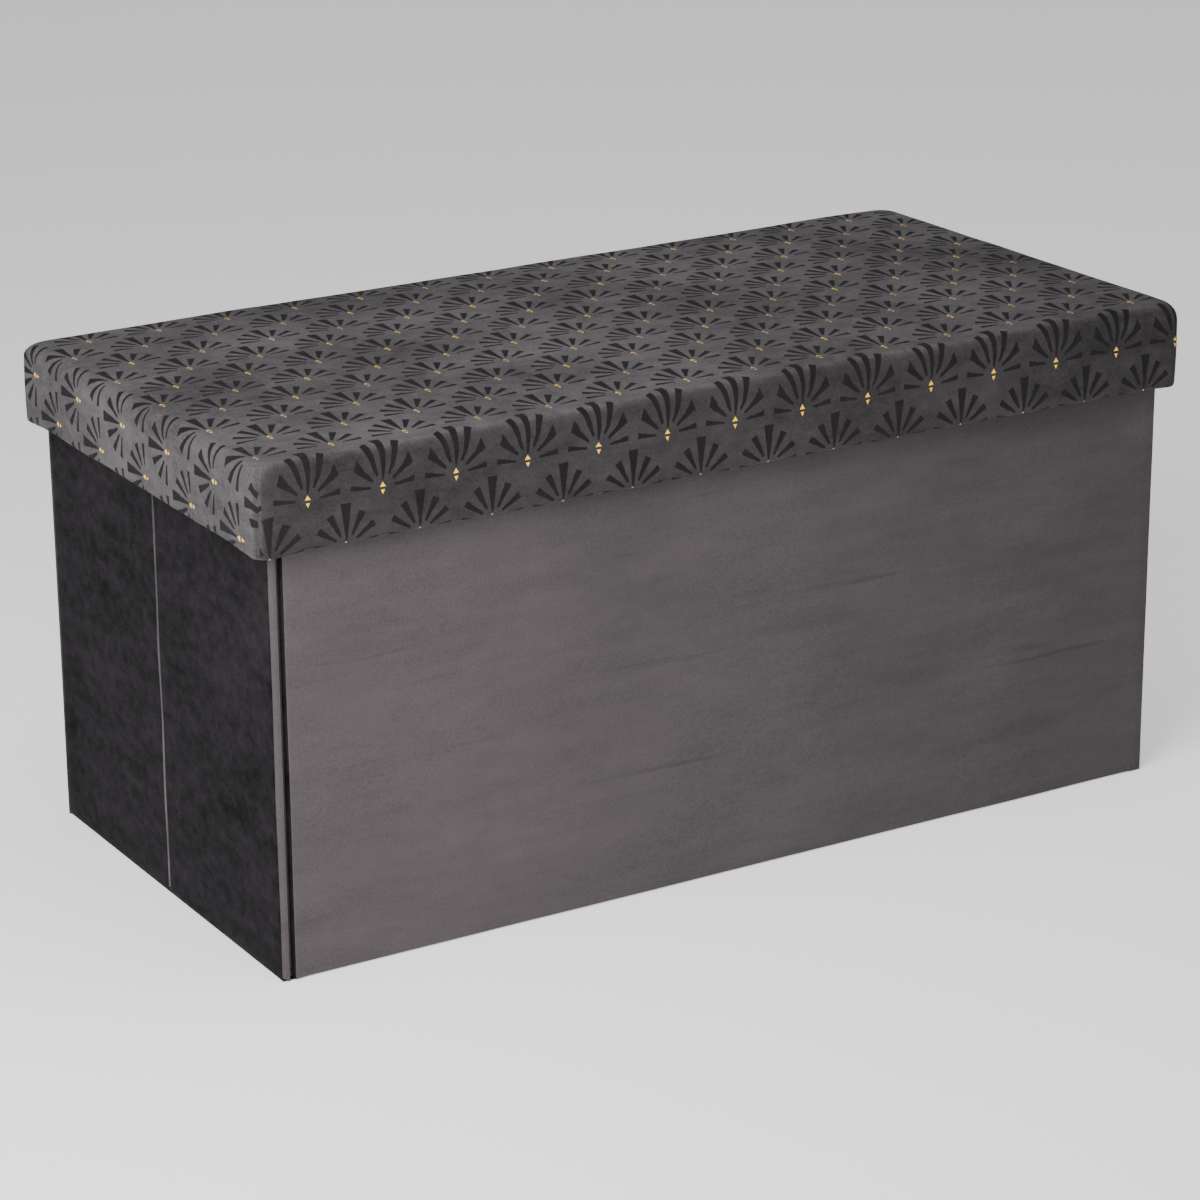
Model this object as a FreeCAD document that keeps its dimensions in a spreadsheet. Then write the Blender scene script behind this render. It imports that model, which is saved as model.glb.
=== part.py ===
"""Folding storage bench: a box of thin upholstered walls under a loose, padded cap lid.

Frame: millimetres, +Z up, +X to the right along the bench, +Y to the back.
The origin is on the floor, under the centre of the bench.

The end walls are cut in two at mid-depth. Each half swings inwards on a vertical axis at its
inner corner, so that the back wall travels straight up to the front wall.
"""
import FreeCAD, Part
import os

import Sketcher

FreeCAD.newDocument("storage_bench")
doc = FreeCAD.ActiveDocument

# Driving dimensions: alias, value in millimetres, what it is.
DIMENSIONS = [
    ("lid_length", 760, "lid along X"),
    ("lid_depth", 380, "lid along Y"),
    ("total_height", 376, "floor to the top of the lid"),
    ("lid_height", 67, "cap lid, hem to top"),
    ("lid_corner", 14, "plan radius of the lid's corners"),
    ("overhang", 13, "lid past the body, on each side"),
    ("velvet", 1.2, "velvet cloth"),
    ("lining", 0.8, "non-woven lining, hems and bottom cloth"),
    ("wall_board", 4.5, "hardboard in the walls"),
    ("wall_top", 338, "top edge of the walls, inside the lid"),
    ("hem_height", 7, "soft hem under the walls' boards"),
    ("fold_gap", 0.6, "gap between the two halves of an end wall"),
    ("fold_inset", 3, "board's end to the fold line"),
    ("hinge_gap", 3, "groove between an end wall and the front or back wall"),
    ("cloth_gap", 0.2, "hinge cloth to the walls beside it"),
    ("seam_width", 4, "stitched fold seam"),
    ("seam_height", 0.8, "fold seam proud of the velvet"),
    ("base_board", 4, "loose board in the bottom"),
    ("base_gap", 2, "base board to the walls"),
    ("base_corner", 6, "plan radius of the base board's corners"),
    ("tab_width", 25, "ribbon tab on the base board"),
    ("tab_length", 60, "ribbon tab on the base board"),
    ("lid_board", 9, "board in the lid"),
    ("lid_rest", 0.3, "walls' top edge to the lid's lining"),
    ("rim", 3.5, "strips that stiffen the lid's sides"),
    ("turned_hem", 18, "lid cover turned up inside the rim"),
    ("staple_length", 10, "crown of a staple"),
    ("staple_width", 1.2, "crown of a staple"),
    ("staple_wire", 0.5, "crown of a staple"),
    ("staple_drop", 10, "staples below the top of the turned hem"),
]

STAPLES_LONG_SIDE = 7
STAPLES_SHORT_SIDE = 3
SLACK = 1e-6

sheet = doc.addObject("Spreadsheet::Sheet", "dim")
for row, (alias, value, meaning) in enumerate(DIMENSIONS, start=1):
    sheet.set(f"A{row}", alias)
    sheet.set(f"B{row}", str(value))
    sheet.setAlias(f"B{row}", alias)
    sheet.set(f"C{row}", meaning)
doc.recompute()

# Places that many pieces share, as expressions in the sheet's aliases.
BODY_X = "(dim.lid_length / 2 - dim.overhang)"
BODY_Y = "(dim.lid_depth / 2 - dim.overhang)"
WALL = "(dim.velvet + dim.wall_board + dim.lining)"
INNER_X = f"({BODY_X} - {WALL})"
INNER_Y = f"({BODY_Y} - {WALL})"
LID_BOTTOM = "(dim.total_height - dim.lid_height)"
LINING_BOTTOM = "(dim.wall_top + dim.lid_rest)"
LID_BOARD_BOTTOM = f"({LINING_BOTTOM} + dim.lining)"
LID_BOARD_TOP = f"({LID_BOARD_BOTTOM} + dim.lid_board)"
COVER_X = "(dim.lid_length / 2 - dim.velvet)"
COVER_Y = "(dim.lid_depth / 2 - dim.velvet)"
RIM_X = f"({COVER_X} - dim.rim)"
RIM_Y = f"({COVER_Y} - dim.rim)"
RIM_BOTTOM = f"({LID_BOTTOM} + dim.velvet)"
HEM_TOP = f"({RIM_BOTTOM} + dim.turned_hem)"
BASE_TOP = "(dim.lining + dim.base_board)"


# ---------------------------------------------------------------- helpers

def bind(thing, **expressions):
    """Bind properties of an object to expressions; a double underscore stands for a dot."""
    for name, expression in expressions.items():
        thing.setExpression(name.replace("__", "."), expression)


def slab(label, xs, ys, zs):
    """A box between pairs of expressions along X, Y and Z."""
    box = doc.addObject("Part::Box", label)
    bind(box, Length=f"({xs[1]}) - ({xs[0]})", Width=f"({ys[1]}) - ({ys[0]})",
         Height=f"({zs[1]}) - ({zs[0]})", Placement__Base__x=xs[0],
         Placement__Base__y=ys[0], Placement__Base__z=zs[0])
    return box


def cut(label, base, tool):
    """The base less the tool."""
    difference = doc.addObject("Part::Cut", label)
    difference.Base = base
    difference.Tool = tool
    return difference


def side_span(side, near, far):
    """The span from near to far on the positive side, or its mirror on the negative side."""
    return (near, far) if side > 0 else (f"-({far})", f"-({near})")


def centred(half):
    """The span from minus half to plus half."""
    return (f"-({half})", half)


def rectangle(body, name, half_length, half_width):
    """A sketch of a rectangle centred on the origin of the body's XY plane."""
    sketch = body.newObject("Sketcher::SketchObject", name)
    plane = next(item for item in body.Origin.OriginFeatures if item.Role == "XY_Plane")
    sketch.AttachmentSupport = (plane, [""])
    sketch.MapMode = "FlatFace"
    corners = [FreeCAD.Vector(x, y, 0) for x, y in ((-9, -5), (9, -5), (9, 5), (-9, 5))]
    for index in range(4):
        sketch.addGeometry(Part.LineSegment(corners[index], corners[(index + 1) % 4]))
    for index in range(4):
        sketch.addConstraint(Sketcher.Constraint("Coincident", index, 2, (index + 1) % 4, 1))
        direction = "Horizontal" if index % 2 == 0 else "Vertical"
        sketch.addConstraint(Sketcher.Constraint(direction, index))
    sketch.addConstraint(Sketcher.Constraint("Symmetric", 0, 1, 1, 2, -1, 1))
    length = sketch.addConstraint(Sketcher.Constraint("DistanceX", 0, 1, 0, 2, 18))
    width = sketch.addConstraint(Sketcher.Constraint("DistanceY", 1, 1, 1, 2, 10))
    sketch.setExpression(f"Constraints[{length}]", f"2 * {half_length}")
    sketch.setExpression(f"Constraints[{width}]", f"2 * {half_width}")
    return sketch


def upright_edges(shape):
    """Names of the straight edges that stand along Z."""
    return [f"Edge{number}" for number, edge in enumerate(shape.Edges, start=1)
            if abs(edge.tangentAt(edge.FirstParameter).z) > 1 - SLACK]


def top_edges(shape):
    """Names of the edges that lie in the highest plane of the shape."""
    top = shape.BoundBox.ZMax
    return [f"Edge{number}" for number, edge in enumerate(shape.Edges, start=1)
            if edge.BoundBox.ZMin > top - SLACK]


def round_edges(body, feature, name, edges, radius):
    """A fillet on the named edges of a body's feature."""
    fillet = body.newObject("PartDesign::Fillet", name)
    fillet.Base = (feature, edges)
    bind(fillet, Radius=radius)
    doc.recompute()
    return fillet


def plate(label, half_length, half_width, zs, corner, top_round=None):
    """A padded rectangle with rounded corners and, if asked, a rounded top edge."""
    body = doc.addObject("PartDesign::Body", label)
    pad = body.newObject("PartDesign::Pad", f"{label}_pad")
    pad.Profile = rectangle(body, f"{label}_outline", half_length, half_width)
    bind(pad, Length=f"({zs[1]}) - ({zs[0]})")
    bind(body, Placement__Base__z=zs[0])
    doc.recompute()
    feature = round_edges(body, pad, f"{label}_corners", upright_edges(pad.Shape), corner)
    if top_round:
        round_edges(body, feature, f"{label}_shoulder", top_edges(feature.Shape), top_round)
    return body


# ---------------------------------------------------------------- walls

def wall_panel(name, xs, ys, board_xs, board_ys, lining_xs, lining_ys, hem_xs, hem_ys):
    """Board, outer velvet, inner lining and floor hem of one wall panel.

    The velvet fills the panel in front of the lining, less the board: it wraps the board's
    outer face, its two upright ends and its top edge.
    """
    skin_zs = ("dim.hem_height", "dim.wall_top")
    board_zs = ("dim.hem_height", "dim.wall_top - dim.velvet")
    slab(f"{name}_board", board_xs, board_ys, board_zs)
    blank = slab(f"{name}_velvet_blank", xs, ys, skin_zs)
    recess = slab(f"{name}_velvet_recess", board_xs, board_ys, board_zs)
    cut(f"{name}_velvet", blank, recess)
    slab(f"{name}_lining", lining_xs, lining_ys, skin_zs)
    slab(f"{name}_hem", hem_xs, hem_ys, ("0", "dim.hem_height"))
    return [f"{name}_{piece}" for piece in ("board", "velvet", "lining", "hem")]


def long_wall(name, end):
    """The front (end -1) or back (end +1) wall, which stands between the end walls."""
    half = f"({INNER_X} - dim.hinge_gap)"
    ys = side_span(end, f"{INNER_Y} + dim.lining", BODY_Y)
    board_ys = side_span(end, f"{INNER_Y} + dim.lining", f"{BODY_Y} - dim.velvet")
    lining_ys = side_span(end, INNER_Y, f"{INNER_Y} + dim.lining")
    hem_ys = side_span(end, f"{BODY_Y} - dim.velvet", BODY_Y)
    return wall_panel(name, centred(half), ys, centred(f"({half} - dim.velvet)"), board_ys,
                      centred(half), lining_ys, centred(half), hem_ys)


def half_end_wall(name, side, end):
    """Half of the left (side -1) or right (side +1) end wall, towards the front or back."""
    ys = side_span(end, "dim.fold_gap / 2", BODY_Y)
    board_ys = side_span(end, "dim.fold_inset", f"{BODY_Y} - dim.velvet")
    xs = side_span(side, f"{INNER_X} + dim.lining", BODY_X)
    board_xs = side_span(side, f"{INNER_X} + dim.lining", f"{BODY_X} - dim.velvet")
    lining_xs = side_span(side, INNER_X, f"{INNER_X} + dim.lining")
    hem_xs = side_span(side, f"{BODY_X} - dim.velvet", BODY_X)
    return wall_panel(name, xs, ys, board_xs, board_ys, lining_xs, ys, hem_xs, ys)


def corner_hinge_cloth(name, side, end):
    """Velvet in the groove between an end wall and the front or back wall."""
    xs = side_span(side, f"{INNER_X} - dim.hinge_gap + dim.cloth_gap",
                   f"{INNER_X} - dim.cloth_gap")
    ys = side_span(end, f"{BODY_Y} - 2 * dim.velvet", f"{BODY_Y} - dim.velvet")
    slab(name, xs, ys, ("dim.hem_height", "dim.wall_top"))
    return [name]


def fold_seam(name, side):
    """The thread chain on the fold line of an end wall."""
    xs = side_span(side, BODY_X, f"{BODY_X} + dim.seam_height")
    slab(name, xs, centred("(dim.seam_width / 2)"), ("dim.hem_height", LID_BOTTOM))
    return [name]


# ---------------------------------------------------------------- bottom

def bottom_cloth():
    """The cloth sewn to the hems all round."""
    slab("bottom_cloth", centred(f"({BODY_X} - dim.velvet)"),
         centred(f"({BODY_Y} - dim.velvet)"), ("0", "dim.lining"))
    return ["bottom_cloth"]


def base():
    """The loose base board with its lining and its ribbon tab."""
    half_length = f"({INNER_X} - dim.base_gap)"
    half_width = f"({INNER_Y} - dim.base_gap)"
    plate("base_board", half_length, half_width, ("dim.lining", BASE_TOP), "dim.base_corner")
    plate("base_lining", half_length, half_width, (BASE_TOP, f"{BASE_TOP} + dim.lining"),
          "dim.base_corner")
    slab("base_tab", (f"{half_length} - dim.tab_length", half_length),
         centred("(dim.tab_width / 2)"),
         (f"{BASE_TOP} + dim.lining", f"{BASE_TOP} + 2 * dim.lining"))
    return ["base_board", "base_lining", "base_tab"]


# ---------------------------------------------------------------- lid

def lid_top():
    """Board, foam, printed cover and lining."""
    corner = "dim.lid_corner - dim.velvet"
    cover_top = "(dim.total_height - dim.velvet)"
    plate("lid_board", COVER_X, COVER_Y, (LID_BOARD_BOTTOM, LID_BOARD_TOP), corner)
    plate("lid_foam", COVER_X, COVER_Y, (LID_BOARD_TOP, cover_top), corner,
          "dim.lid_corner - 2 * dim.velvet")
    outside = plate("lid_cover_outside", "(dim.lid_length / 2)", "(dim.lid_depth / 2)",
                    (LID_BOTTOM, "dim.total_height"), "dim.lid_corner",
                    "dim.lid_corner - dim.velvet")
    inside = plate("lid_cover_inside", COVER_X, COVER_Y, (LID_BOTTOM, cover_top), corner,
                   "dim.lid_corner - 2 * dim.velvet")
    cut("lid_cover", outside, inside)
    inner_corner = "dim.lid_corner - dim.velvet - dim.rim - dim.lining"
    plate("lid_lining", f"({RIM_X} - dim.lining)", f"({RIM_Y} - dim.lining)",
          (LINING_BOTTOM, LID_BOARD_BOTTOM), inner_corner)
    return ["lid_board", "lid_foam", "lid_cover", "lid_lining"]


def lid_rims():
    """The four straight strips in the lid's sides."""
    zs = (RIM_BOTTOM, LID_BOARD_BOTTOM)
    straight_x = "(dim.lid_length / 2 - dim.lid_corner)"
    straight_y = "(dim.lid_depth / 2 - dim.lid_corner)"
    for name, end in (("lid_front_rim", -1), ("lid_back_rim", 1)):
        slab(name, centred(straight_x), side_span(end, RIM_Y, COVER_Y), zs)
    for name, side in (("lid_left_rim", -1), ("lid_right_rim", 1)):
        slab(name, side_span(side, RIM_X, COVER_X), centred(straight_y), zs)
    return ["lid_front_rim", "lid_back_rim", "lid_left_rim", "lid_right_rim"]


def lid_corner_strips():
    """Four bent strips, each a quarter of a ring, that join the straight ones."""
    quarters = []
    for turn, (side, end) in enumerate(((1, 1), (-1, 1), (-1, -1), (1, -1))):
        rings = []
        for kind, radius in (("outer", "dim.lid_corner - dim.velvet"),
                             ("inner", "dim.lid_corner - dim.velvet - dim.rim")):
            quarter = doc.addObject("Part::Cylinder", f"corner_strip_{kind}_{turn}")
            quarter.Angle = 90
            quarter.Placement.Rotation = FreeCAD.Rotation(FreeCAD.Vector(0, 0, 1), 90 * turn)
            bind(quarter, Radius=radius, Height=f"{LID_BOARD_BOTTOM} - {RIM_BOTTOM}",
                 Placement__Base__x=f"{side} * (dim.lid_length / 2 - dim.lid_corner)",
                 Placement__Base__y=f"{end} * (dim.lid_depth / 2 - dim.lid_corner)",
                 Placement__Base__z=RIM_BOTTOM)
            rings.append(quarter)
        quarters.append(cut(f"corner_strip_{turn}", *rings))
    group = doc.addObject("Part::Compound", "lid_corner_strips")
    group.Links = quarters
    return ["lid_corner_strips"]


def lid_hem():
    """The cover's edge, flat under the rim and turned up inside it."""
    rim_corner = "dim.lid_corner - dim.velvet - dim.rim"
    under = plate("hem_under", COVER_X, COVER_Y, (LID_BOTTOM, RIM_BOTTOM),
                  "dim.lid_corner - dim.velvet")
    upstand = plate("hem_upstand", RIM_X, RIM_Y, (LID_BOTTOM, HEM_TOP), rim_corner)
    ring = doc.addObject("Part::Fuse", "hem_ring")
    ring.Base = under
    ring.Tool = upstand
    opening = plate("hem_opening", f"({RIM_X} - dim.lining)", f"({RIM_Y} - dim.lining)",
                    (LID_BOTTOM, HEM_TOP), f"{rim_corner} - dim.lining")
    cut("lid_hem", ring, opening)
    return ["lid_hem"]


def lid_staples():
    """Crowns of the staples on the turned hem, spread evenly along each side."""
    crown = "dim.staple_length / 2"
    staple_zs = (f"{HEM_TOP} - dim.staple_drop",
                 f"{HEM_TOP} - dim.staple_drop + dim.staple_width")
    face_x = f"({RIM_X} - dim.lining)"
    face_y = f"({RIM_Y} - dim.lining)"
    crowns = []
    for sign in (-1, 1):
        ys = side_span(sign, f"{face_y} - dim.staple_wire", face_y)
        for step in range(STAPLES_LONG_SIDE):
            share = 2 * (step + 0.5) / STAPLES_LONG_SIDE - 1
            middle = f"{share:.4f} * {face_x}"
            xs = (f"{middle} - {crown}", f"{middle} + {crown}")
            crowns.append(slab(f"staple_long_{sign + 1}_{step}", xs, ys, staple_zs))
        xs = side_span(sign, f"{face_x} - dim.staple_wire", face_x)
        for step in range(STAPLES_SHORT_SIDE):
            share = 2 * (step + 0.5) / STAPLES_SHORT_SIDE - 1
            middle = f"{share:.4f} * {face_y}"
            ys_short = (f"{middle} - {crown}", f"{middle} + {crown}")
            crowns.append(slab(f"staple_short_{sign + 1}_{step}", xs, ys_short, staple_zs))
    group = doc.addObject("Part::Compound", "lid_staples")
    group.Links = crowns
    return ["lid_staples"]


# ---------------------------------------------------------------- the bench

nodes = []
nodes += long_wall("front", -1)
nodes += long_wall("back", 1)
for side_name, side in (("left", -1), ("right", 1)):
    nodes += half_end_wall(f"{side_name}_front", side, -1)
    nodes += half_end_wall(f"{side_name}_rear", side, 1)
    nodes += corner_hinge_cloth(f"{side_name}_front_hinge_cloth", side, -1)
    nodes += corner_hinge_cloth(f"{side_name}_rear_hinge_cloth", side, 1)
    nodes += fold_seam(f"{side_name}_fold_seam", side)
nodes += bottom_cloth()
nodes += base()
nodes += lid_top()
nodes += lid_rims()
nodes += lid_corner_strips()
nodes += lid_hem()
nodes += lid_staples()

doc.recompute()
for thing in doc.Objects:
    if "Invalid" in thing.State or "Error" in thing.State:
        raise RuntimeError(f"{thing.Label} failed to recompute: {thing.State}")

os.makedirs("parts", exist_ok=True)
for node in nodes:
    shape = doc.getObjectsByLabel(node)[0].Shape
    if shape.isNull() or not shape.isValid() or shape.Volume <= 0:
        raise RuntimeError(f"{node} has no valid solid")
    shape.exportStep(f"parts/{node}.step")
print(f"{len(nodes)} sub-parts written")
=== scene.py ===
"""Looks of the folding storage bench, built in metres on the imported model."""
import math

import bpy
from mathutils import Matrix, Vector, noise
from mathutils.kdtree import KDTree


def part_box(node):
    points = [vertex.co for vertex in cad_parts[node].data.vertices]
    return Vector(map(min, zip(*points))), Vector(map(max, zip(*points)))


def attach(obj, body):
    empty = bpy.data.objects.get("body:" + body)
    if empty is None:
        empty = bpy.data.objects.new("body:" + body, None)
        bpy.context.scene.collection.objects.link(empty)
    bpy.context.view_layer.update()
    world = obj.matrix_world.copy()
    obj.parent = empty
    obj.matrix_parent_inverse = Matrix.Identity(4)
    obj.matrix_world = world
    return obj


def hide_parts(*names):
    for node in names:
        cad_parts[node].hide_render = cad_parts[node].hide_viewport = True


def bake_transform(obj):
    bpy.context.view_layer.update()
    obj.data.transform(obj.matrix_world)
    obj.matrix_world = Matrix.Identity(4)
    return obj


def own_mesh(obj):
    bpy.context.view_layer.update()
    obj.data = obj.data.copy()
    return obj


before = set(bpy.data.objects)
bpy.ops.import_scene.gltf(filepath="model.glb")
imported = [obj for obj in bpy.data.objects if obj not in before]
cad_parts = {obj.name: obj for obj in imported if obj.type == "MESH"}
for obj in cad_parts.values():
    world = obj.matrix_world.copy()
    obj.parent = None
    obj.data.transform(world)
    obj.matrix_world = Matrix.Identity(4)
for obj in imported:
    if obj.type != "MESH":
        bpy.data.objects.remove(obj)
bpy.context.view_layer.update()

# ---- places read from the frame

COVER_LOW, COVER_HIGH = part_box("lid_cover")
HALF_X = COVER_HIGH.x
HALF_Y = COVER_HIGH.y
HEM_Z = COVER_LOW.z
SKIN_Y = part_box("back_velvet")[1].y
END_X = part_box("right_front_velvet")[1].x
WALL_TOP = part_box("back_velvet")[1].z
HEM_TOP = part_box("back_hem")[1].z
VELVET = 0.0012             # thickness of the velvet on the walls and the lid
BOARD_AND_VELVET = 0.0057   # thickness of a wall's hardboard with its velvet
HAIR = 0.0001               # gap or overlap that keeps two surfaces from coinciding


def new_object(name, data):
    """An object with this data, added to the scene."""
    added = bpy.data.objects.new(name, data)
    bpy.context.scene.collection.objects.link(added)
    return added


# ---- camera and light

CAMERA_LENS = 119.8
CAMERA_AZIMUTH = math.radians(-30.91)
CAMERA_ELEVATION = math.radians(19.43)
CAMERA_ROLL = math.radians(-0.42)
CAMERA_DISTANCE = 2.976
CAMERA_TARGET = Vector((-0.0069, 0.0019, 0.1543))


def direction(azimuth, elevation):
    """The unit vector from the object to a viewer at that azimuth and elevation, in radians."""
    return Vector((math.sin(azimuth) * math.cos(elevation),
                   -math.cos(azimuth) * math.cos(elevation), math.sin(elevation)))


def add_camera():
    """The camera, which sees the front, the left end and the top."""
    back = direction(CAMERA_AZIMUTH, CAMERA_ELEVATION)
    right = Vector((math.cos(CAMERA_AZIMUTH), math.sin(CAMERA_AZIMUTH), 0))
    turn = Matrix.Rotation(CAMERA_ROLL, 3, back)
    right = turn @ right
    rotation = Matrix((right, back.cross(right), back)).transposed().to_4x4()
    data = bpy.data.cameras.new("camera")
    data.lens = CAMERA_LENS
    data.clip_end = 60
    camera = new_object("camera", data)
    place = CAMERA_TARGET + CAMERA_DISTANCE * back
    camera.matrix_world = Matrix.Translation(place) @ rotation
    bpy.context.scene.camera = camera


def add_area_light(name, azimuth, elevation, distance, size, power):
    """A square soft box that looks at the bench from an azimuth and elevation in degrees."""
    back = direction(math.radians(azimuth), math.radians(elevation))
    data = bpy.data.lights.new(name, "AREA")
    data.size = size
    data.energy = power
    light = new_object(name, data)
    light.location = CAMERA_TARGET + distance * back
    light.rotation_euler = back.to_track_quat("Z", "Y").to_euler()


def add_studio():
    """Soft boxes and an even white surround."""
    add_area_light("key_light", -58, 34, 1.9, 1.1, 42)
    add_area_light("front_light", -40, 15, 2.2, 1.0, 8)
    add_area_light("top_light", 25, 72, 2.4, 1.8, 20)
    world = bpy.data.worlds.new("studio")
    world.use_nodes = True
    world.node_tree.nodes["Background"].inputs["Color"].default_value = (1, 1, 1, 1)
    world.node_tree.nodes["Background"].inputs["Strength"].default_value = 0.25
    bpy.context.scene.world = world


# ---- materials

class Surface:
    """One procedural material: a Principled shader, and short calls that add nodes to it."""

    def __init__(self, name, **constants):
        self.material = bpy.data.materials.new(name)
        self.material.use_nodes = True
        self.tree = self.material.node_tree
        self.shader = self.tree.nodes["Principled BSDF"]
        for socket, value in constants.items():
            self.shader.inputs[socket.replace("_", " ")].default_value = value

    def add(self, kind, inputs, **settings):
        """A node with its settings; each input takes a constant or another node's output."""
        node = self.tree.nodes.new(kind)
        for setting, value in settings.items():
            setattr(node, setting, value)
        for socket, value in inputs.items():
            self.feed(node.inputs[socket], value)
        return node

    def feed(self, socket, value):
        """Sets a socket to a constant or links it to an output."""
        if isinstance(value, bpy.types.NodeSocket):
            self.tree.links.new(value, socket)
        else:
            socket.default_value = value

    def math(self, operation, *values):
        """The result of a Math node."""
        return self.add("ShaderNodeMath", dict(enumerate(values)), operation=operation).outputs[0]

    def coordinates(self, stretch=(1, 1, 1), turn=(0, 0, 0)):
        """Object coordinates in metres, stretched along each axis."""
        source = self.add("ShaderNodeTexCoord", {})
        mapping = self.add("ShaderNodeMapping", {"Vector": source.outputs["Object"],
                                                 "Rotation": turn, "Scale": stretch})
        return mapping.outputs[0]

    def facing(self):
        """The direction that the surface faces, in the object's own axes."""
        return self.add("ShaderNodeTexCoord", {}).outputs["Normal"]

    def axis(self, vector, name):
        """One component of a vector."""
        return self.add("ShaderNodeSeparateXYZ", {"Vector": vector}).outputs[name]

    def noise(self, scale, stretch=(1, 1, 1), detail=3.0, roughness=0.55, turn=(0, 0, 0)):
        """Noise from 0 to 1."""
        node = self.add("ShaderNodeTexNoise", {
            "Vector": self.coordinates(stretch, turn), "Scale": scale, "Detail": detail,
            "Roughness": roughness})
        return node.outputs["Fac"]

    def spread(self, value, low, high, to_low=0.0, to_high=1.0):
        """Maps low..high smoothly to to_low..to_high, and holds it at the ends."""
        node = self.add("ShaderNodeMapRange", {
            "Value": value, "From Min": low, "From Max": high, "To Min": to_low,
            "To Max": to_high}, interpolation_type="SMOOTHSTEP")
        return node.outputs[0]

    def mix(self, factor, first, second, blend="MIX"):
        """A colour between two colours."""
        node = self.tree.nodes.new("ShaderNodeMix")
        node.data_type = "RGBA"
        node.blend_type = blend
        colours = [socket for socket in node.inputs if socket.type == "RGBA"]
        self.feed(node.inputs["Factor"], factor)
        self.feed(colours[0], first)
        self.feed(colours[1], second)
        return next(socket for socket in node.outputs if socket.type == "RGBA")

    def tint(self, colour, amount):
        """The colour times a number that varies over the surface."""
        grey = self.add("ShaderNodeCombineColor", {"Red": amount, "Green": amount, "Blue": amount})
        return self.mix(1.0, colour, grey.outputs[0], "MULTIPLY")

    def bump(self, height, distance, strength=1.0, normal=None):
        """A bumped normal."""
        inputs = {"Height": height, "Distance": distance, "Strength": strength}
        if normal is not None:
            inputs["Normal"] = normal
        return self.add("ShaderNodeBump", inputs).outputs[0]

    def finish(self, **sockets):
        """Links the shader's varying inputs and returns the material."""
        for socket, value in sockets.items():
            self.feed(self.shader.inputs[socket.replace("_", " ")], value)
        return self.material


def srgb(red, green, blue):
    """Linear colour of 8-bit sRGB values."""
    def linear(value):
        value = value / 255
        return value / 12.92 if value <= 0.04045 else ((value + 0.055) / 1.055) ** 2.4
    return (linear(red), linear(green), linear(blue), 1.0)


# 8-bit sRGB colours of the pile and the gilt print; the ends' pile is the front's velvet made darker,
# as painted shade.
FRONT_PILE = (82, 77, 79)
SHADED_END_PILE = (27, 25, 27)
LID_PILE = (83, 80, 82)
PETAL_PILE = (33, 31, 33)
GILT = (255, 206, 74)
DULL_GILT = (128, 116, 92)

VELVET_SHADER = {"Roughness": 0.88, "Specular_IOR_Level": 0.05, "Sheen_Weight": 0.03,
                 "Sheen_Roughness": 0.45, "Sheen_Tint": (0.75, 0.72, 0.75, 1)}


def nap(surface, broad, strokes, mottle, grain, turn=(0, 0, 0)):
    """Brightness of brushed pile around 1: smudges, brush strokes, mottling and a fine grain."""
    layers = ((surface.noise(8, (1, 1, 1.6), 3, 0.55, turn), 2.6 * broad),
              (surface.noise(30, (0.35, 0.6, 2.0), 5, 0.65, turn), 2.0 * strokes),
              (surface.noise(95, (1, 1, 1.2), 3, 0.6, turn), 2.0 * mottle),
              (surface.noise(560, (1, 1, 1.3), 2, 0.7), 2.0 * grain))
    total = 1.0
    for layer, size in layers:
        centred = surface.math("SUBTRACT", layer, 0.5)
        total = surface.math("MULTIPLY_ADD", centred, size, total)
    return surface.math("MAXIMUM", total, 0.15)


def pile_bump(surface):
    """The fine relief of short pile."""
    fine = surface.noise(900, (1, 1, 1), 2, 0.6)
    broad = surface.noise(60, (0.5, 0.5, 1.4), 3, 0.5)
    first = surface.bump(broad, 0.0006, 0.5)
    return surface.bump(fine, 0.0003, 0.45, first)


def body_velvet():
    """Plain velvet of the walls, with painted shade: darker on the ends, towards the right end and in
    streaks standing for creases.
    """
    surface = Surface("body_velvet", **VELVET_SHADER)
    forward = surface.axis(surface.facing(), "Y")
    # Where the wall faces front or back it takes the front's pile, elsewhere the ends' darker pile:
    # painted shade.
    front = surface.spread(surface.math("ABSOLUTE", forward), 0.72, 0.95)
    long_wall_nap_and_shade = nap(surface, 0.16, 0.20, 0.08, 0.30)
    along = surface.axis(surface.coordinates(), "X")
    # Darker towards the right end of the long walls: painted shade of the light falling off.
    painted_falloff = surface.spread(along, -0.40, 0.46, 1.0, 0.74)
    # Thin horizontal streaks, darker by up to a fifth: painted shade of creases.
    painted_crease_shade = surface.spread(surface.noise(34, (0.16, 1, 3.0), 2, 0.5), 0.64, 0.78, 1.0, 0.80)
    long_wall_nap_and_shade = surface.math("MULTIPLY", surface.math("MULTIPLY", long_wall_nap_and_shade, painted_falloff), painted_crease_shade)
    end_nap = nap(surface, 0.60, 0.90, 1.15, 0.75, (0.7, 0, 0))
    colour = surface.mix(front, surface.tint(srgb(*SHADED_END_PILE), end_nap),
                         surface.tint(srgb(*FRONT_PILE), long_wall_nap_and_shade))
    return surface.finish(Base_Color=colour, Normal=pile_bump(surface))


# The print: a brick pattern of small fans, in metres on the unrolled cloth.
COLUMN = 0.0551
ROW = 0.0365
FIRST_ROW = -0.2048
FIRST_COLUMN = -0.3388
CELL_FOOT = 0.0050
# Angle from upright in degrees, near and far end, and half angle in degrees of each petal.
PETALS = [(0.0, 0.0050, 0.0305, 7.3), (27.7, 0.0088, 0.0264, 5.9),
          (55.3, 0.0090, 0.0252, 5.6), (83.0, 0.0090, 0.0238, 4.7)]
# Direction up or down, distance of the base from the fan's foot, half width and height.
TRIANGLES = [(1, 0.0008, 0.0022, 0.0033), (-1, 0.0012, 0.0015, 0.0032)]
PRINT_WOBBLE = 0.0011       # how far the print's edges stray


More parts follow.
